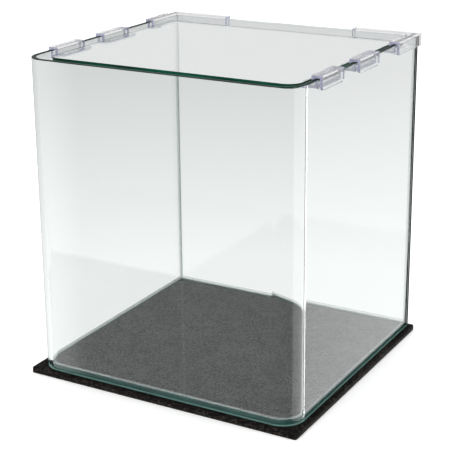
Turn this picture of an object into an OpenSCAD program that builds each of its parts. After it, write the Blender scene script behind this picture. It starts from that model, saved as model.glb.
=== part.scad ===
// Cube tank of bent glass on a foam mat, with a loose glass lid carried by clear rim clips.
// Origin at the centre of the mat's underside, +Z up, front of the tank towards -Y.

/* [Tank] */
// Width over the two side walls
tank_w = 300; // [240:5:360]
// Depth from the front face to the back face
tank_d = 285; // [240:5:360]
// Height of the glass walls
tank_h = 330; // [200:5:400]
// Thickness of the bent pane and the back pane
wall_t = 5; // [5:0.5:6]
// Thickness of the floor pane
floor_t = 6; // [5:0.5:8]
// Outer radius of the two bent front corners
bend_r = 24; // [16:1:30]

/* [Sealant] */
// Leg of the silicone fillets in the inside corners
bead = 2.5; // [2:0.5:4]
// Joint left all round the floor pane
floor_gap = 0.5; // [0.3:0.1:0.8]

/* [Mat] */
// Thickness of the foam mat
mat_t = 6; // [4:0.5:8]
// How far the mat shows outside the tank
mat_margin = 6; // [4:0.5:10]
// Radius of the mat's corners
mat_corner_r = 4; // [2:0.5:8]

/* [Lid] */
// Thickness of the lid pane
lid_t = 4; // [3:0.5:5]
// Distance from a side wall's outer face to the lid's edge
lid_side_inset = 12; // [11.5:0.5:14]
// Distance from the front face to the lid's front edge
lid_front_inset = 24; // [18:1:30]
// Distance from the back face to the lid's back edge
lid_back_inset = 27; // [20:1:34]
// Depth of the lid's top face below the rim
lid_drop = 2.5; // [1.5:0.5:4]
// Radius of the lid's two front corners
lid_corner_r = 15; // [8:1:20]

/* [Clips] */
// Length of a straight clip along the rim
clip_len = 46; // [38:1:50]
// Distance from the front face to the front clips
clip_front_at = 48; // [46:1:50]
// Distance from the front face to the middle clips
clip_middle_at = 130; // [126:1:134]
// Length of a corner clip's arm along the side wall
corner_side_arm = 58; // [40:1:64]
// Length of a corner clip's arm along the back pane
corner_back_arm = 72; // [40:1:90]
// Thickness of the outer leg
clip_outer_t = 3; // [2:0.25:3.5]
// Thickness of the inner leg
clip_inner_t = 3.5; // [2.5:0.25:4]
// Thickness of the cap over the rim
clip_cap_t = 2.5; // [2:0.25:3]
// Depth of the outer leg below the rim
clip_leg_drop = 11; // [9:0.5:14]
// Thickness of the ledge that carries the lid
ledge_t = 3; // [2:0.5:4]
// Length of the ledge beyond the inner leg
ledge_reach = 8.5; // [6:0.5:9]
// Number of grip ribs across a straight clip's cap
rib_count = 10; // [6:1:12]

/* [Hidden] */
$fn = 96;

half_w = tank_w / 2;
half_d = tank_d / 2;
rim_z = mat_t + tank_h;              // top edge of the walls
floor_top = mat_t + floor_t;
in_half_w = half_w - wall_t;         // inner faces of the walls
in_half_d = half_d - wall_t;
in_bend_r = bend_r - wall_t;
clip_slack = 0.25;                   // play between the inner leg and the glass
cap_in = wall_t + clip_slack + clip_inner_t;   // inner edge of the cap, from the outer face
ledge_in = cap_in + ledge_reach;     // inner edge of the ledge, from the outer face
lid_under = lid_drop + lid_t;        // underside of the lid, below the rim
rib_w = 1.8;
rib_h = 0.4;
rib_margin = 3;                      // bare cap at each end of the ribs
toe_r = 2.5;                         // rounding of the outer leg's lower corners

glass_tint = [0.72, 0.86, 0.82, 0.35];
lid_tint = [0.55, 0.80, 0.72, 0.40];
seal_tint = [0.90, 0.92, 0.92, 0.50];
clip_tint = [0.86, 0.86, 0.92, 0.55];
mat_tint = [0.08, 0.07, 0.065];

// Plan outline with a square back edge and two rounded front corners
module tank_outline(half_x, y_front, y_back, r) {
    translate([-half_x + r, y_front]) square([2 * (half_x - r), y_back - y_front]);
    translate([-half_x, y_front + r]) square([2 * half_x, y_back - y_front - r]);
    for (side = [-1, 1]) translate([side * (half_x - r), y_front + r]) circle(r);
}

module foam_mat() {
    half_x = half_w + mat_margin;
    half_y = half_d + mat_margin;
    color(mat_tint) linear_extrude(mat_t) {
        square([2 * half_x, 2 * (half_y - mat_corner_r)], center = true);
        square([2 * (half_x - mat_corner_r), 2 * half_y], center = true);
        for (x = [-1, 1], y = [-1, 1])
            translate([x * (half_x - mat_corner_r), y * (half_y - mat_corner_r)]) circle(mat_corner_r);
    }
}

module floor_pane() {
    color(glass_tint) translate([0, 0, mat_t]) linear_extrude(floor_t)
        tank_outline(in_half_w - floor_gap, -in_half_d + floor_gap, in_half_d - floor_gap,
                     in_bend_r - floor_gap);
}

// One sheet bent round both front corners, open at the back
module bent_pane() {
    color(glass_tint) translate([0, 0, mat_t]) difference() {
        linear_extrude(tank_h) tank_outline(half_w, -half_d, half_d, bend_r);
        translate([0, 0, -1]) linear_extrude(tank_h + 2)
            tank_outline(in_half_w, -in_half_d, half_d + 1, in_bend_r);
    }
}

module back_pane() {
    color(glass_tint) translate([-in_half_w, in_half_d, mat_t]) cube([2 * in_half_w, wall_t, tank_h]);
}

// Straight fillet along X on the floor, its right angle at the origin
module bead_profile() polygon([[0, 0], [bead, 0], [0, bead]]);

module floor_seal() {
    run_y = 2 * in_half_d - in_bend_r;
    run_x = 2 * (in_half_w - in_bend_r);
    color(seal_tint) translate([0, 0, floor_top]) {
        for (side = [-1, 1]) {
            // along the side walls
            translate([side * in_half_w, in_half_d, 0]) mirror([side > 0 ? 1 : 0, 0, 0])
                rotate([90, 0, 0]) linear_extrude(run_y) bead_profile();
            // round the bent corners
            translate([side * (in_half_w - in_bend_r), -in_half_d + in_bend_r, 0])
                rotate([0, 0, side > 0 ? -90 : 180]) rotate_extrude(angle = 90)
                    polygon([[in_bend_r - bead, 0], [in_bend_r, 0], [in_bend_r, bead]]);
        }
        // along the front and the back
        translate([-run_x / 2, -in_half_d, 0]) rotate([90, 0, 90]) linear_extrude(run_x) bead_profile();
        translate([in_half_w, in_half_d, 0]) rotate([90, 0, -90]) linear_extrude(2 * in_half_w) bead_profile();
    }
}

// Upright fillet between a side wall and the back pane, standing on the floor fillet
module back_seal(side) {
    z0 = floor_top + bead;
    color(seal_tint) translate([side * in_half_w, in_half_d, z0]) mirror([side > 0 ? 1 : 0, 0, 0])
        linear_extrude(rim_z - clip_leg_drop - z0) polygon([[0, 0], [0, -bead], [bead, 0]]);
}

module lid_pane() {
    color(lid_tint) translate([0, 0, rim_z - lid_under]) linear_extrude(lid_t)
        tank_outline(half_w - lid_side_inset, -half_d + lid_front_inset, half_d - lid_back_inset,
                     lid_corner_r);
}

// A clip's cross-section: X runs inwards from the wall's outer face, Y up from the rim
module clip_section() {
    translate([-clip_outer_t, -clip_leg_drop + toe_r]) square([clip_outer_t, clip_leg_drop - toe_r + clip_cap_t]);
    translate([-clip_outer_t, 0]) square([clip_outer_t + cap_in, clip_cap_t]);
    translate([cap_in - clip_inner_t, -lid_under - ledge_t])
        square([clip_inner_t, lid_under + ledge_t + clip_cap_t]);
    translate([cap_in - clip_inner_t, -lid_under - ledge_t]) square([clip_inner_t + ledge_reach, ledge_t]);
}

// The rounded lower strip of an outer leg, as long as the clip
module clip_toe(len) {
    translate([-clip_outer_t, 0, -clip_leg_drop + toe_r]) rotate([90, 0, 90]) linear_extrude(clip_outer_t) {
        translate([toe_r, 0]) circle(toe_r);
        translate([len - toe_r, 0]) circle(toe_r);
        translate([toe_r, -toe_r]) square([len - 2 * toe_r, toe_r]);
    }
}

// Clip on the left wall with its near end at the origin, running back along Y
module straight_clip() {
    translate([0, clip_len, 0]) rotate([90, 0, 0]) linear_extrude(clip_len) clip_section();
    clip_toe(clip_len);
    pitch = (clip_len - 2 * rib_margin - rib_w) / (rib_count - 1);
    for (i = [0 : rib_count - 1])
        translate([-clip_outer_t, rib_margin + i * pitch, clip_cap_t])
            cube([clip_outer_t + cap_in, rib_w, rib_h]);
}

module place_clip(side, from_front) {
    color(clip_tint) mirror([side > 0 ? 1 : 0, 0, 0])
        translate([-half_w, -half_d + from_front, rim_z]) straight_clip();
}

// L-shaped strip in plan whose near edge is a and far edge b, both measured inwards
module corner_strip(a, b) {
    difference() {
        translate([a, -corner_side_arm]) square([corner_back_arm - a, corner_side_arm - a]);
        translate([b, -corner_side_arm - 1]) square([corner_back_arm, corner_side_arm + 1 - b]);
    }
}

// Clip on the back left corner, with the corner of the outer faces at the origin
module corner_clip() {
    translate([0, 0, -clip_leg_drop]) linear_extrude(clip_leg_drop + clip_cap_t) corner_strip(-clip_outer_t, 0);
    linear_extrude(clip_cap_t) corner_strip(-clip_outer_t, cap_in);
    translate([0, 0, -lid_under - ledge_t]) {
        linear_extrude(lid_under + ledge_t + clip_cap_t) corner_strip(cap_in - clip_inner_t, cap_in);
        linear_extrude(ledge_t) corner_strip(cap_in - clip_inner_t, ledge_in);
    }
}

module place_corner_clip(side) {
    color(clip_tint) mirror([side > 0 ? 1 : 0, 0, 0]) translate([-half_w, half_d, rim_z]) corner_clip();
}

foam_mat();
floor_pane();
bent_pane();
back_pane();
floor_seal();
back_seal(-1);  // back_left_seal
back_seal(1);  // back_right_seal
lid_pane();
place_clip(-1, clip_front_at);  // clip_left_front
place_clip(-1, clip_middle_at);  // clip_left_middle
place_clip(1, clip_front_at);  // clip_right_front
place_clip(1, clip_middle_at);  // clip_right_middle
place_corner_clip(-1);  // corner_clip_left
place_corner_clip(1);  // corner_clip_right
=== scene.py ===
# A rimless cube tank for a small pet: one bent sheet of glass closed by a back pane and a floor
# pane, a loose lid that lies on clear clips pushed over the rim, and a foam mat to stand on.
# The pieces follow in the order in which the tank is put together, and the studio comes last.

import math

import bmesh
import bpy
from mathutils import Euler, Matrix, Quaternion, Vector


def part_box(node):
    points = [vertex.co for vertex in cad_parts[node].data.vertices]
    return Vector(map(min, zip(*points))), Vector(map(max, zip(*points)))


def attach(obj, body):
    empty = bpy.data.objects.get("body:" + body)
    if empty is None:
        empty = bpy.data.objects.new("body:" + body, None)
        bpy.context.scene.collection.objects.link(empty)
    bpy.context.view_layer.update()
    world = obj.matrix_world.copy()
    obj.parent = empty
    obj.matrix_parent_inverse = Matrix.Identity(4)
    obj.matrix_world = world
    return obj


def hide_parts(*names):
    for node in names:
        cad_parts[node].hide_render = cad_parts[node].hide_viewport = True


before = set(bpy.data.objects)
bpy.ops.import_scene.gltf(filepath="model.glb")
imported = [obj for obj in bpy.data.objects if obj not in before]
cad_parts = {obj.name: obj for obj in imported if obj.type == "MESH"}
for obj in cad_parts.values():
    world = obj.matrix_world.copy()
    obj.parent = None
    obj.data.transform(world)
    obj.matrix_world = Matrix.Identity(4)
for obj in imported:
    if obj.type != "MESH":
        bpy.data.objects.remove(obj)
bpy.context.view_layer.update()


# --- Foam mat -------------------------------------------------------------------------------
# A sheet of black-brown closed-cell foam, cut with a blade a little larger than the tank and
# laid loose under it. Its faces show a fine open grain, and its cut edges are slightly uneven.

class Wire:
    """A value in a node tree. Arithmetic on it adds the Math nodes that work it out."""

    def __init__(self, bench, socket):
        self.bench, self.socket = bench, socket

    def math(self, operation, *terms):
        return self.bench.node("ShaderNodeMath", {"operation": operation}, dict(enumerate(terms)))

    def __add__(self, other):
        return self.math("ADD", self, other)

    def __sub__(self, other):
        return self.math("SUBTRACT", self, other)

    def __rsub__(self, other):
        return self.math("SUBTRACT", other, self)

    def __mul__(self, other):
        return self.math("MULTIPLY", self, other)

    def __truediv__(self, other):
        return self.math("DIVIDE", self, other)

    def __gt__(self, other):
        return self.math("GREATER_THAN", self, other)

    def __lt__(self, other):
        return self.math("LESS_THAN", self, other)

    def __abs__(self):
        return self.math("ABSOLUTE", self)

    __radd__ = __add__
    __rmul__ = __mul__


class Bench:
    """A node tree under construction."""

    def __init__(self, tree):
        self.tree = tree

    def node(self, kind, settings=(), inputs=(), output=0):
        """Adds a node, sets it up, feeds its sockets and returns one of its outputs as a Wire."""
        made = self.tree.nodes.new(kind)
        for name, value in dict(settings).items():
            if name == "stops":
                set_stops(made.color_ramp, value)
            else:
                setattr(made, name, value)
        for name, value in dict(inputs).items():
            if isinstance(value, Wire):
                self.tree.links.new(value.socket, made.inputs[name])
            else:
                made.inputs[name].default_value = value
        return Wire(self, made.outputs[output]) if made.outputs else None


def set_stops(ramp, stops):
    """Gives a colour ramp these stops, each a place from 0 to 1 and an RGB colour."""
    while len(ramp.elements) < len(stops):
        ramp.elements.new(1.0)
    for element, (place, colour) in zip(ramp.elements, stops):
        element.position = place
        element.color = (*colour, 1.0)


def new_finish(name):
    """A fresh material and the bench to build it on."""
    material = bpy.data.materials.new(name)
    material.use_nodes = True
    material.node_tree.nodes.clear()
    return material, Bench(material.node_tree)


def put_on(bench, shader, **inside):
    """Makes a shader the material's surface, with what fills the piece if that is given."""
    bench.node("ShaderNodeOutputMaterial", {}, {"Surface": shader, **inside})


def place_in_row(name, mesh, *finishes):
    """Shows a mesh as a piece that sits at the row's origin, with its finishes in slot order."""
    piece = bpy.data.objects.new(name, mesh)
    bpy.context.scene.collection.objects.link(piece)
    for finish in finishes:
        mesh.materials.append(finish)
    return piece


def foam_finish():
    """Black-brown foam. Where it lies under the tank it is painted paler: painted light, for the grey
    the mat shows through the glass floor.
    """
    material, bench = new_finish("closed_cell_foam")
    place = bench.node("ShaderNodeTexCoord", output="Object")
    grain = bench.node("ShaderNodeTexNoise", {}, {"Vector": place, "Scale": 583.0, "Detail": 2.0})
    blotch = bench.node("ShaderNodeTexNoise", {}, {"Vector": place, "Scale": 55.0, "Detail": 4.0})
    cells = bench.node("ShaderNodeTexVoronoi", {}, {"Vector": place, "Scale": 520.0})
    shade = bench.node(
        "ShaderNodeValToRGB",
        {"stops": [(0.38, (0.0015, 0.0010, 0.0008)), (0.52, (0.0070, 0.0056, 0.0046)),
                   (0.66, (0.0500, 0.0440, 0.0390))]},
        {"Fac": grain * 0.8 + blotch * 0.2})
    quarter = bench.node("ShaderNodeVectorMath", {"operation": "ABSOLUTE"}, {0: place})
    beyond = bench.node("ShaderNodeVectorMath", {"operation": "SUBTRACT"}, {
        0: quarter, 1: UNDER_TANK_CORE})
    outside = bench.node("ShaderNodeVectorMath", {"operation": "MAXIMUM"}, {0: beyond, 1: (0, 0, 0)})
    distance = bench.node("ShaderNodeVectorMath", {"operation": "LENGTH"}, {0: outside}, output="Value")
    # Painted light: the paler tones the foam is painted with under the tank's footprint.
    painted_light_under_tank = bench.node(
        "ShaderNodeValToRGB",
        {"stops": [(0.40, (0.030, 0.030, 0.030)), (0.60, (0.250, 0.248, 0.246))]},
        {"Fac": grain * 0.8 + blotch * 0.2})
    shade = bench.node("ShaderNodeMix", {"data_type": "RGBA"}, {
        "Factor": distance < UNDER_TANK_REACH, 6: shade, 7: painted_light_under_tank}, output=2)
    relief = bench.node("ShaderNodeBump", {}, {
        "Strength": 0.9, "Distance": 0.0009, "Height": grain * 0.8 + cells * 0.5 + blotch * 0.6})
    put_on(bench, bench.node("ShaderNodeBsdfPrincipled", {}, {
        "Base Color": shade, "Roughness": 0.92, "Specular IOR Level": 0.15, "Normal": relief}))
    return material


def cut_foam_sheet(low, high, corner_radius, edge_radius, spacing, unevenness):
    """A closed block with rounded corners and softened edges, and a faint ripple in its faces."""
    size = high - low
    counts = [max(2, round(side / spacing)) for side in (size.x, size.y)] + [4]
    mesh = bmesh.new()
    bmesh.ops.create_cube(mesh, size=1.0)
    for axis in range(3):
        for cut in range(1, counts[axis]):
            at = Vector((0, 0, 0))
            at[axis] = cut / counts[axis] - 0.5
            normal = Vector((0, 0, 0))
            normal[axis] = 1
            bmesh.ops.bisect_plane(mesh, geom=mesh.verts[:] + mesh.edges[:] + mesh.faces[:],
                                   plane_co=at, plane_no=normal)
    middle = (low + high) / 2
    for vertex in mesh.verts:
        point = middle + Vector(side * share for side, share in zip(size, vertex.co))
        vertex.co = soften(point, low, high, corner_radius, edge_radius)
    mesh.normal_update()
    for vertex in mesh.verts:
        if vertex.co.z > low.z + edge_radius:
            vertex.co += vertex.normal * unevenness * (ripple(vertex.co) - 1.0)
    cut = bpy.data.meshes.new("foam_mat_sheet")
    mesh.to_mesh(cut)
    mesh.free()
    cut.shade_smooth()
    return cut


def soften(point, low, high, corner_radius, edge_radius):
    """Pulls a point of a sharp block in to rounded upright corners and rounded edges."""
    inner_low = low + Vector((corner_radius, corner_radius, 0))
    inner_high = high - Vector((corner_radius, corner_radius, 0))
    core = Vector(min(max(p, a), b) for p, a, b in zip(point, inner_low, inner_high))
    reach = point - core
    if reach.length > 0:
        core += reach.normalized() * max(abs(reach.x), abs(reach.y))
    point = core
    rise = min(point.z - low.z, high.z - point.z)
    if rise < edge_radius:
        inwards = edge_radius - math.sqrt(edge_radius ** 2 - (edge_radius - rise) ** 2)
        middle = (low + high) / 2
        for axis in range(2):
            near = abs(point[axis] - middle[axis]) > (high[axis] - low[axis]) / 2 - edge_radius
            if near:
                point[axis] -= math.copysign(inwards, point[axis] - middle[axis])
    return point


def ripple(point):
    """A smooth uneven height from 0 to 1, the sum of a few waves that don't share a length."""
    waves = (math.sin(point.x * 610 + point.y * 270), math.sin(point.x * 240 - point.y * 730),
             math.sin(point.z * 2100 + point.x * 1150 + point.y * 940))
    return 0.5 + sum(waves) / 6


mat_low, mat_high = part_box("foam_mat")
wall_low, wall_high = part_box("bent_pane")
BEND_RADIUS = 0.024
# The tank's footprint less its bends, and how far beyond it the foam is painted paler (painted light).
UNDER_TANK_CORE = (wall_high - wall_low) / 2 - Vector((BEND_RADIUS, BEND_RADIUS, 0))
UNDER_TANK_REACH = 0.019
mat_sheet = cut_foam_sheet(mat_low, mat_high, corner_radius=0.004, edge_radius=0.0008,
                           spacing=0.003, unevenness=0.0002)
foam_mat = place_in_row("foam_sheet", mat_sheet, foam_finish())
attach(foam_mat, "mat")
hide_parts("foam_mat")


# --- Floor pane -----------------------------------------------------------------------------
# Float glass with ground edges, laid inside the foot of the walls. The faces are clear with a
# faint green cast, and the ground edges look deep green, because light runs the sheet's length.

def clear_glass(name, cast):
    """Polished float glass. A slight waviness shows in what it mirrors."""
    material, bench = new_finish(name)
    place = bench.node("ShaderNodeTexCoord", output="Object")
    wave = bench.node("ShaderNodeTexNoise", {}, {"Vector": place, "Scale": 7.0, "Detail": 1.0})
    wipe = bench.node("ShaderNodeTexNoise", {}, {"Vector": place, "Scale": 40.0, "Detail": 5.0})
    relief = bench.node("ShaderNodeBump", {}, {"Strength": 0.04, "Distance": 0.002, "Height": wave})
    put_on(bench, bench.node("ShaderNodeBsdfPrincipled", {}, {
        "Base Color": (*cast, 1.0), "Transmission Weight": 1.0, "IOR": 1.5,
        "Roughness": wipe * 0.012, "Normal": relief}), Volume=iron_tint(bench))
    return material


def iron_tint(bench):
    """The green that float glass takes on over a long way through it."""
    return bench.node("ShaderNodeVolumeAbsorption", {}, {
        "Color": (0.0, 0.52, 0.42, 1.0), "Density": 5.0})


def ground_edge(name, deep, bright, painted_inside_shading, clearness=0.5, gloss=0.12):
    """A ground edge with painted light and shade: a streaky deep green from outside, and from inside
    the sheet a plainer, partly clear tone.
    """
    material, bench = new_finish(name)
    place = bench.node("ShaderNodeTexCoord", output="Object")
    along = bench.node("ShaderNodeMapping", {}, {"Vector": place, "Scale": (22.0, 22.0, 260.0)})
    streak = bench.node("ShaderNodeTexNoise", {}, {"Vector": along, "Scale": 1.0, "Detail": 3.0})
    green = bench.node("ShaderNodeValToRGB", {"stops": [(0.35, deep), (0.65, bright)]}, {
        "Fac": streak})
    fine = bench.node("ShaderNodeTexNoise", {}, {"Vector": place, "Scale": 1400.0})
    relief = bench.node("ShaderNodeBump", {}, {"Strength": 0.2, "Distance": 0.0002, "Height": fine})
    outside = bench.node("ShaderNodeBsdfPrincipled", {}, {
        "Base Color": green, "Roughness": 0.3, "Specular IOR Level": gloss, "Normal": relief})
    inside = bench.node("ShaderNodeBsdfPrincipled", {}, {
        "Base Color": (*painted_inside_shading, 1.0), "Transmission Weight": clearness, "IOR": 1.5, "Roughness": 0.3,
        "Specular IOR Level": 0.0})
    # Painted light and shade: one tone shows where the edge is seen from outside, the other where it is
    # seen from inside the sheet.
    back = bench.node("ShaderNodeNewGeometry", output="Backfacing")
    put_on(bench, bench.node("ShaderNodeMixShader", {}, {0: back, 1: outside, 2: inside}),
           Volume=iron_tint(bench))
    return material


def rounded_front_outline(low, high, radius, steps=14):
    """Plan outline of a sheet with a square back edge and two rounded front corners."""
    outline = []
    for side, first in ((-1, 180), (1, 270)):
        centre = Vector((high.x - radius if side > 0 else low.x + radius, low.y + radius))
        for step in range(steps + 1):
            angle = math.radians(first + 90 * step / steps)
            outline.append(centre + radius * Vector((math.cos(angle), math.sin(angle))))
    return outline + [Vector((high.x, high.y)), Vector((low.x, high.y))]


def inset(outline, distance):
    """A convex outline, counter-clockwise, moved inwards."""
    moved = []
    count = len(outline)
    for index, point in enumerate(outline):
        before = (point - outline[index - 1]).normalized()
        after = (outline[(index + 1) % count] - point).normalized()
        normal_a, normal_b = Vector((-before.y, before.x)), Vector((-after.y, after.x))
        joint = normal_a + normal_b
        moved.append(point + joint * (2 * distance / joint.length_squared))
    return moved


def ground_sheet(name, outline, low, high, arris, stand=lambda a, b, c: Vector((a, b, c))):
    """Glass cut to an outline, between two levels, with its arrises ground off.
    Its faces take the first finish and its edges the second."""
    levels = [(arris, low), (0.0, low + arris), (0.0, high - arris), (arris, high)]
    mesh = bmesh.new()
    rings = [[mesh.verts.new(stand(*point, level)) for point in inset(outline, back)]
             for back, level in levels]
    count = len(outline)
    for lower, upper in zip(rings, rings[1:]):
        for index in range(count):
            after = (index + 1) % count
            side = mesh.faces.new((lower[index], lower[after], upper[after], upper[index]))
            side.material_index = 1
    mesh.faces.new(reversed(rings[0]))
    mesh.faces.new(rings[-1])
    bmesh.ops.recalc_face_normals(mesh, faces=mesh.faces[:])
    sheet = bpy.data.meshes.new(name)
    mesh.to_mesh(sheet)
    mesh.free()
    sheet.shade_smooth()
    sheet.set_sharp_from_angle(angle=math.radians(30))
    return sheet


TANK_CAST = (0.965, 0.970, 0.968)
TEAL = (0.36, 0.66, 0.60)
tank_glass = clear_glass("polished_wall", TANK_CAST)
# The floor and foot edges: deep green from outside and a paler teal from inside the glass, which is
# painted light.
teal_edge = ground_edge("floor_edge", (0.040, 0.125, 0.112), (0.062, 0.170, 0.150), TEAL, 0.3)
ARRIS = 0.0005      # the narrow slope that is ground along each edge of a pane
JOINT = 0.00004     # a hairline left wherever two clear pieces meet
floor_low, floor_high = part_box("floor_pane")
back_low, back_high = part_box("back_pane")
WALL = back_high.y - back_low.y
floor_margin = floor_low.x - (wall_low.x + WALL)
floor_outline = rounded_front_outline(floor_low, floor_high, BEND_RADIUS - WALL - floor_margin)
floor_sheet = ground_sheet(
    "floor_glass", floor_outline, floor_low.z, floor_high.z - JOINT, ARRIS)
floor_pane = place_in_row("floor_glass", floor_sheet, tank_glass, teal_edge)
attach(floor_pane, "tank")
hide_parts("floor_pane")


# --- Bent pane ------------------------------------------------------------------------------
# The front and both side walls are one sheet of 5 mm glass, heated and bent round two formers.
# Its section is drawn along a U-shaped path whose corners are filleted to the former's radius.

def section_curve(name, points):
    """A closed section to draw along a path: x points out of the path, y points down."""
    curve = bpy.data.curves.new(name, "CURVE")
    curve.dimensions = "3D"
    spline = curve.splines.new("POLY")
    spline.points.add(len(points) - 1)
    for target, (x, y) in zip(spline.points, points):
        target.co = (x, y, 0, 1)
    spline.use_cyclic_u = True
    holder = bpy.data.objects.new(name, curve)
    bpy.context.scene.collection.objects.link(holder)
    return holder


def path_mesh(name, points, radii, closed=False):
    """A path's corner points, each with the radius that its corner is bent to."""
    mesh = bpy.data.meshes.new(name)
    links = [(i, i + 1) for i in range(len(points) - 1)]
    if closed:
        links.append((len(points) - 1, 0))
    mesh.from_pydata([tuple(point) for point in points], links, [])
    mesh.attributes.new("bend_radius", "FLOAT", "POINT").data.foreach_set("value", radii)
    return mesh


def drawn_strip_tree():
    """Geometry nodes that fillet a path's corners and draw a section along it."""
    tree = bpy.data.node_groups.new("drawn_strip", "GeometryNodeTree")
    entries = (("Path", "NodeSocketGeometry"), ("Section", "NodeSocketObject"),
               ("Steps per bend", "NodeSocketInt"), ("Face finish", "NodeSocketMaterial"),
               ("Edge finish", "NodeSocketMaterial"), ("Foot finish", "NodeSocketMaterial"))
    for label, kind in entries:
        tree.interface.new_socket(name=label, in_out="INPUT", socket_type=kind)
    tree.interface.new_socket(name="Strip", in_out="OUTPUT", socket_type="NodeSocketGeometry")
    bench = Bench(tree)
    given = tree.nodes.new("NodeGroupInput")
    path, section, steps, face_finish, edge_finish, foot_finish = (
        Wire(bench, out) for out in given.outputs[:6])
    radius = bench.node("GeometryNodeInputNamedAttribute", {"data_type": "FLOAT"}, {
        "Name": "bend_radius"})
    line = bench.node("GeometryNodeMeshToCurve", {}, {"Mesh": path})
    bent = bench.node("GeometryNodeFilletCurve", {"mode": "POLY"}, {
        "Curve": line, "Count": steps, "Radius": radius})
    shape = bench.node("GeometryNodeObjectInfo", {}, {"Object": section}, output="Geometry")
    strip = bench.node("GeometryNodeCurveToMesh", {}, {
        "Curve": bent, "Profile Curve": shape, "Fill Caps": True})
    slope = bench.node("ShaderNodeSeparateXYZ", {}, {
        "Vector": bench.node("GeometryNodeInputNormal")}, output="Z")
    corners = bench.node("GeometryNodeInputMeshFaceNeighbors", output="Vertex Count")
    is_edge = (abs(slope) > 0.2) + (corners > 4)
    faced = bench.node("GeometryNodeSetMaterial", {}, {"Geometry": strip, "Material": face_finish})
    edged = bench.node("GeometryNodeSetMaterial", {}, {
        "Geometry": faced, "Selection": is_edge, "Material": edge_finish})
    footed = bench.node("GeometryNodeSetMaterial", {}, {
        "Geometry": edged, "Selection": slope < -0.2, "Material": foot_finish})
    whole = bench.node("GeometryNodeRealizeInstances", {}, {"Geometry": footed})
    leave = tree.nodes.new("NodeGroupOutput")
    tree.links.new(whole.socket, leave.inputs[0])
    return tree


drawn_strip = drawn_strip_tree()


def run_geometry(piece, tree, **values):
    """Puts a piece's mesh through a geometry tree and keeps the result as its plain mesh."""
    modifier = piece.modifiers.new("shape", "NODES")
    modifier.node_group = tree
    sockets = {s.name: s.identifier for s in tree.interface.items_tree if s.in_out == "INPUT"}
    for label, value in values.items():
        modifier[sockets[label.replace("_", " ")]] = value
    keep_result(piece)


def keep_result(piece):
    """Replaces a piece's mesh by what its modifiers make of it, and removes them."""
    seen = piece.evaluated_get(bpy.context.evaluated_depsgraph_get())
    result = bpy.data.meshes.new_from_object(seen)
    piece.modifiers.clear()
    piece.data = result


def crease(piece):
    """Smooth bends, sharp arrises, and flat panes that stay flat beside a bend."""
    piece.data.shade_smooth()
    piece.data.set_sharp_from_angle(angle=math.radians(30))
    weighted = piece.modifiers.new("flat_panes", "WEIGHTED_NORMAL")
    weighted.keep_sharp = True
    keep_result(piece)


# The rim's top edge is painted near black from outside and dark from inside: painted shade.
rim_edge = ground_edge(
    "rim_edge", (0.001, 0.010, 0.007), (0.003, 0.034, 0.024), (0.022, 0.060, 0.050), 0.0, gloss=0.03)
half_wall = WALL / 2
left, right = wall_low.x + half_wall, wall_high.x - half_wall
front, rear, rim = wall_low.y + half_wall, wall_high.y, wall_high.z
wall_path = [(left, rear, rim), (left, front, rim), (right, front, rim), (right, rear, rim)]
face, foot = half_wall - JOINT, wall_high.z - wall_low.z
wall_section = section_curve("wall_section", [
    (ARRIS - face, JOINT), (face - ARRIS, JOINT), (face, JOINT + ARRIS), (face, foot - ARRIS),
    (face - ARRIS, foot), (ARRIS - face, foot), (-face, foot - ARRIS), (-face, JOINT + ARRIS)])
bent_radius = BEND_RADIUS - half_wall
bent_pane = place_in_row(
    "bent_glass", path_mesh("wall_path", wall_path, [0, bent_radius, bent_radius, 0]))
run_geometry(bent_pane, drawn_strip, Section=wall_section, Steps_per_bend=28,
             Face_finish=tank_glass, Edge_finish=rim_edge, Foot_finish=teal_edge)
crease(bent_pane)
bpy.data.objects.remove(wall_section)
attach(bent_pane, "tank")
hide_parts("bent_pane")


# --- Back pane ------------------------------------------------------------------------------
# A flat sheet of the same glass, glued between the open ends of the bent one.

def rectangle(low, high):
    """A four-cornered outline, counter-clockwise."""
    return [Vector((low[0], low[1])), Vector((high[0], low[1])), Vector((high[0], high[1])),
            Vector((low[0], high[1]))]


# The back pane's side edges are painted dark (painted shade) from outside and pale from inside (painted
# light); its top edge is painted pale grey, painted light.
back_edge = ground_edge(
    "back_edge", (0.004, 0.030, 0.022), (0.010, 0.052, 0.040), (0.72, 0.78, 0.76), 0.6)
back_rim_painted_light = ground_edge(
    "back_rim_painted_light", (0.55, 0.60, 0.59), (0.74, 0.78, 0.77), (0.72, 0.78, 0.76), 0.6)
back_outline = rectangle(
    (back_low.x + JOINT, back_low.z), (back_high.x - JOINT, back_high.z - JOINT))
back_sheet = ground_sheet(
    "back_glass", back_outline, back_low.y + JOINT, back_high.y - JOINT, ARRIS,
    stand=lambda a, b, c: Vector((a, c, b)))
back_pane = place_in_row("back_glass", back_sheet, tank_glass, back_edge, back_rim_painted_light)
# Painted light: the upward-facing edge takes the pale top-edge tones.
for side in back_pane.data.polygons:
    if side.material_index == 1 and side.normal.z > 0.5:
        side.material_index = 2
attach(back_pane, "tank")
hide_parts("back_pane")


# --- Sealant --------------------------------------------------------------------------------
# Clear silicone, run into the inside corners and smoothed with a finger, so each fillet is
# hollow. One bead goes round the floor, and one stands in each back corner.

def silicone():
    """Cured sealant, clear and slightly clouded where a finger dragged over it."""
    material, bench = new_finish("cured_silicone")
    place = bench.node("ShaderNodeTexCoord", output="Object")
    drag = bench.node("ShaderNodeTexNoise", {}, {"Vector": place, "Scale": 130.0, "Detail": 2.0})
    relief = bench.node("ShaderNodeBump", {}, {"Strength": 0.3, "Distance": 0.0004, "Height": drag})
    put_on(bench, bench.node("ShaderNodeBsdfPrincipled", {}, {
        "Base Color": (0.86, 0.90, 0.89, 1.0), "Transmission Weight": 0.82, "IOR": 1.10,
        "Roughness": 0.10 + drag * 0.15, "Normal": relief}))
    return material


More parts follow.
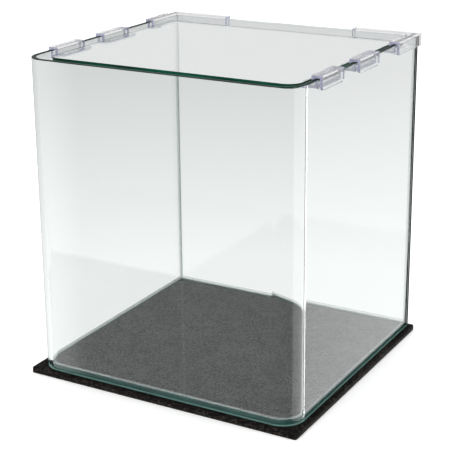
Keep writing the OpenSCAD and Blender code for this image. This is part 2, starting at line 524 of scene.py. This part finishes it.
def hollow_fillet(leg, steps=6):
    """A fillet's section with its right angle at the origin and a hollow face."""
    angles = [math.radians(90 * step / steps) for step in range(steps + 1)]
    return [(0.0, 0.0)] + [
        (-leg * (1 - math.sin(angle)), -leg * (1 - math.cos(angle))) for angle in angles]


clear_silicone = silicone()
bead_low, bead_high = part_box("floor_seal")
bead_leg = bead_high.z - bead_low.z
left, right = bead_low.x + JOINT, bead_high.x - JOINT
front, rear, foot = bead_low.y + JOINT, bead_high.y - JOINT, bead_low.z + JOINT
bead_path = [(left, rear, foot), (left, front, foot), (right, front, foot), (right, rear, foot)]
inner_bend = BEND_RADIUS - WALL
bead_section = section_curve("bead_section", hollow_fillet(bead_leg))
floor_seal = place_in_row("floor_bead", path_mesh(
    "floor_bead_path", bead_path, [bead_leg, inner_bend, inner_bend, bead_leg], closed=True))
run_geometry(floor_seal, drawn_strip, Section=bead_section, Steps_per_bend=16,
             Face_finish=clear_silicone, Edge_finish=clear_silicone, Foot_finish=clear_silicone)
crease(floor_seal)
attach(floor_seal, "tank")
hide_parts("floor_seal")
bpy.data.objects.remove(bead_section)

for side, node in ((-1, "back_left_seal"), (1, "back_right_seal")):
    seal_low, seal_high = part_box(node)
    leg = seal_high.x - seal_low.x
    inner_x = seal_low.x if side < 0 else seal_high.x
    outline = [Vector((inner_x - side * (JOINT - x), seal_high.y - JOINT + y))
               for x, y in hollow_fillet(leg)]
    mesh = bmesh.new()
    rings = [[mesh.verts.new((p.x, p.y, z)) for p in outline] for z in (seal_low.z, seal_high.z)]
    for index in range(len(outline)):
        after = (index + 1) % len(outline)
        mesh.faces.new((rings[0][index], rings[0][after], rings[1][after], rings[1][index]))
    mesh.faces.new(rings[0])
    mesh.faces.new(rings[1])
    bmesh.ops.recalc_face_normals(mesh, faces=mesh.faces[:])
    upright = bpy.data.meshes.new(node + "_bead")
    mesh.to_mesh(upright)
    mesh.free()
    bead = place_in_row(node + "_bead", upright, clear_silicone)
    crease(bead)
    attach(bead, "tank")
    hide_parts(node)


# --- Rim clips ------------------------------------------------------------------------------
# Injection-moulded clear plastic with a cold lavender cast. Each clip is a hook that grips the
# rim, with a ledge inside that carries the lid. Fine grip ribs cross the straight clips' caps.

def clip_plastic(name, tone, clearness):
    """Clear moulded plastic. Less clearness makes it paler and more frosted."""
    material, bench = new_finish(name)
    place = bench.node("ShaderNodeTexCoord", output="Object")
    flow = bench.node("ShaderNodeTexNoise", {}, {"Vector": place, "Scale": 90.0, "Detail": 2.0})
    relief = bench.node("ShaderNodeBump", {}, {"Strength": 0.15, "Distance": 0.0004, "Height": flow})
    put_on(bench, bench.node("ShaderNodeBsdfPrincipled", {}, {
        "Base Color": (*tone, 1.0), "Transmission Weight": clearness, "IOR": 1.14,
        "Roughness": 0.02 + flow * 0.04, "Normal": relief}))
    return material


def moulded(node, finishes, rounding):
    """A clip with the frame's shape, its edges rounded as a mould leaves them. Its finishes are
    those of its skin, its rounded edges (paler and frosted, a painted highlight) and the small
    faces at its ends."""
    mesh = bmesh.new()
    mesh.from_mesh(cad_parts[node].data)
    bmesh.ops.remove_doubles(mesh, verts=mesh.verts[:], dist=1e-6)
    bmesh.ops.dissolve_limit(
        mesh, angle_limit=math.radians(1), verts=mesh.verts[:], edges=mesh.edges[:])
    low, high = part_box(node)
    for face in mesh.faces:
        middle = face.calc_center_median()
        off_side = min(abs(middle[axis] - side[axis]) for axis in (0, 1) for side in (low, high))
        at_end = off_side < 1e-4 and face.calc_area() < LARGEST_END
        face.material_index = 2 if at_end else 0
    shape = bpy.data.meshes.new(node + "_moulding")
    mesh.to_mesh(shape)
    mesh.free()
    piece = place_in_row(node + "_moulding", shape, *finishes)
    bevel = piece.modifiers.new("rounding", "BEVEL")
    bevel.width = rounding
    bevel.segments = 2
    # The rounded edges take the paler, frosted finish: a painted highlight along the clip's edges.
    bevel.material = 1
    bevel.limit_method = "ANGLE"
    bevel.angle_limit = math.radians(40)
    keep_result(piece)
    crease(piece)
    return piece


LARGEST_END = 2.5e-4    # in square metres; a clip's long faces are larger
clip_skin = clip_plastic("moulded_plastic", (0.99, 0.99, 0.998), 0.97)
# Paler and more frosted than the skin: a painted highlight for the clips' rounded edges.
clip_rounding_highlight = clip_plastic("plastic_rounding_highlight", (0.93, 0.93, 0.96), 0.55)
clip_end = clip_plastic("plastic_end", (0.46, 0.46, 0.64), 0.30)
CLIP_BODIES = {
    "clip_left_front": "left_front_clip", "clip_left_middle": "left_middle_clip",
    "clip_right_front": "right_front_clip", "clip_right_middle": "right_middle_clip",
    "corner_clip_left": "tank", "corner_clip_right": "tank"}
for node, body in CLIP_BODIES.items():
    clip = moulded(node, (clip_skin, clip_rounding_highlight, clip_end), rounding=0.0003)
    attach(clip, body)
    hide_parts(node)


# --- Lid pane -------------------------------------------------------------------------------
# Loose 4 mm glass with two rounded front corners, ground all round. It lies on the clips'
# ledges, and its long sight line through the sheet makes its front edge a saturated green.

LID_CAST = (0.975, 0.980, 0.978)
LID_CORNER_RADIUS = 0.015
lid_glass = clear_glass("polished_lid", LID_CAST)
# The lid's edge is painted a streaky saturated green from outside and a paler green from inside the
# sheet, which is painted light.
lid_edge = ground_edge(
    "lid_edge", (0.000, 0.026, 0.012), (0.000, 0.100, 0.054), (0.45, 0.62, 0.58))
lid_low, lid_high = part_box("lid_pane")
lid_outline = rounded_front_outline(lid_low, lid_high, LID_CORNER_RADIUS)
lid_sheet = ground_sheet("lid_glass", lid_outline, lid_low.z + JOINT, lid_high.z, ARRIS)
lid_pane = place_in_row("lid_glass", lid_sheet, lid_glass, lid_edge)
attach(lid_pane, "lid")
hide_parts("lid_pane")


# --- Studio ---------------------------------------------------------------------------------
# A white sweep under a soft white dome. What the glass mirrors is a greyer room, which is what
# makes clear glass show against white.

def greys(*stops):
    """Grey stops for a colour ramp, each a place and a level."""
    return [(place, (level, level, level)) for place, level in stops]


FLOOR_HALF = 60.0
FADE_LENGTH = 2.0
WHITE = 1.22
PANEL_STRENGTH = 16.0
floor_mesh = bpy.data.meshes.new("studio_floor")
floor_mesh.from_pydata(
    [(-FLOOR_HALF, -FLOOR_HALF, 0), (FLOOR_HALF, -FLOOR_HALF, 0), (FLOOR_HALF, FLOOR_HALF, 0),
     (-FLOOR_HALF, FLOOR_HALF, 0)], [], [(0, 1, 2, 3)])
floor_finish, bench = new_finish("studio_floor")
# For every ray but the camera's the floor glows with painted light: rings of grey round the tank,
# brightest close to it.
place = bench.node("ShaderNodeTexCoord", output="Object")
reach = bench.node("ShaderNodeVectorMath", {"operation": "LENGTH"}, {0: place}, output="Value")
painted_floor_glow = bench.node(
    "ShaderNodeValToRGB", {"stops": greys(
        (0.13, 1.07), (0.213, 0.95), (0.291, 0.87), (0.422, 0.745), (0.52, 0.71), (0.72, 0.80),
        (0.93, 0.90))},
    {"Fac": reach / (reach + FADE_LENGTH)})
unseen = bench.node("ShaderNodeEmission", {}, {"Color": painted_floor_glow, "Strength": 1.0})
seen = bench.node("ShaderNodeBsdfDiffuse", {}, {"Color": (1.2, 1.2, 1.2, 1.0)})
direct = bench.node("ShaderNodeLightPath", output="Is Camera Ray")
put_on(bench, bench.node("ShaderNodeMixShader", {}, {0: direct, 1: unseen, 2: seen}))
studio_floor = place_in_row("studio_floor", floor_mesh, floor_finish)
studio_floor.visible_glossy = False

world = bpy.data.worlds.new("soft_dome")
world.use_nodes = True
world.node_tree.nodes.clear()
world.cycles.sampling_method = "NONE"
bpy.context.scene.world = world
dome = Bench(world.node_tree)
direction = dome.node("ShaderNodeTexCoord", output="Generated")
height = dome.node("ShaderNodeSeparateXYZ", {}, {"Vector": direction}, output="Z")
room = dome.node(
    "ShaderNodeValToRGB",
    {"stops": greys((0.24, 0.90), (0.34, 0.13), (0.70, 0.13), (0.95, 1.0))}, {"Fac": height})
around = dome.node(
    "ShaderNodeTexGradient", {"gradient_type": "RADIAL"}, {"Vector": direction}, output="Fac")

# Panels stand round the tank at mirror height: a soft wide one, a narrow bright one for the
# right-hand bend, and a thin dark upright beside it. Their stops go once round the room.
panels = dome.node(
    "ShaderNodeValToRGB", {"stops": greys(
        (0.03, 0.05), (0.08, 0.14), (0.1455, 0.14), (0.147, 0.030), (0.435, 0.024), (0.462, 0.13),
        (0.57, 0.13), (0.640, 0.17), (0.651, 0.62), (0.660, 0.62), (0.668, 0.080),
        (0.700, 0.085), (0.76, 0.045), (0.90, 0.045))},
    {"Fac": around})
dark_upright = (around > 0.6908) * (around < 0.6925)
panels = panels * (1 - dark_upright)
mirrored = dome.node("ShaderNodeLightPath", output="Is Reflection Ray")
below_horizon = dome.node("ShaderNodeMapRange", {}, {
    "Value": height, "From Min": 0.12, "From Max": 0.0, "To Min": 0.0, "To Max": 1.0})
seen_in_glass = room + (panels * PANEL_STRENGTH - room) * below_horizon * mirrored
scattered = dome.node("ShaderNodeLightPath", output="Diffuse Depth") > 0.5
lit = dome.node("ShaderNodeLightPath", output="Is Camera Ray") + scattered
backdrop = dome.node("ShaderNodeBackground", {}, {
    "Color": (1.0, 1.0, 1.0, 1.0), "Strength": seen_in_glass + (WHITE - seen_in_glass) * lit})
dome.node("ShaderNodeOutputWorld", {}, {"Surface": backdrop})

camera_data = bpy.data.cameras.new("camera")
camera_data.sensor_width = 36.0
camera_data.lens = 102.6
camera_data.shift_y = -0.066
camera = bpy.data.objects.new("camera", camera_data)
bpy.context.scene.collection.objects.link(camera)
camera.location = (0.6387, -1.1198, 0.5878)
turn, tilt, roll = math.radians(29.80), math.radians(-17.70), math.radians(-0.56)
camera.rotation_mode = "QUATERNION"
camera.rotation_quaternion = (
    Euler((math.radians(90) + tilt, 0, turn)).to_quaternion() @ Quaternion((0, 0, 1), roll))
scene = bpy.context.scene
scene.camera = camera
scene.view_settings.view_transform = "Standard"
scene.cycles.max_bounces = 24
scene.cycles.transmission_bounces = 20
scene.cycles.glossy_bounces = 8
scene.cycles.caustics_refractive = True
scene.cycles.caustics_reflective = True
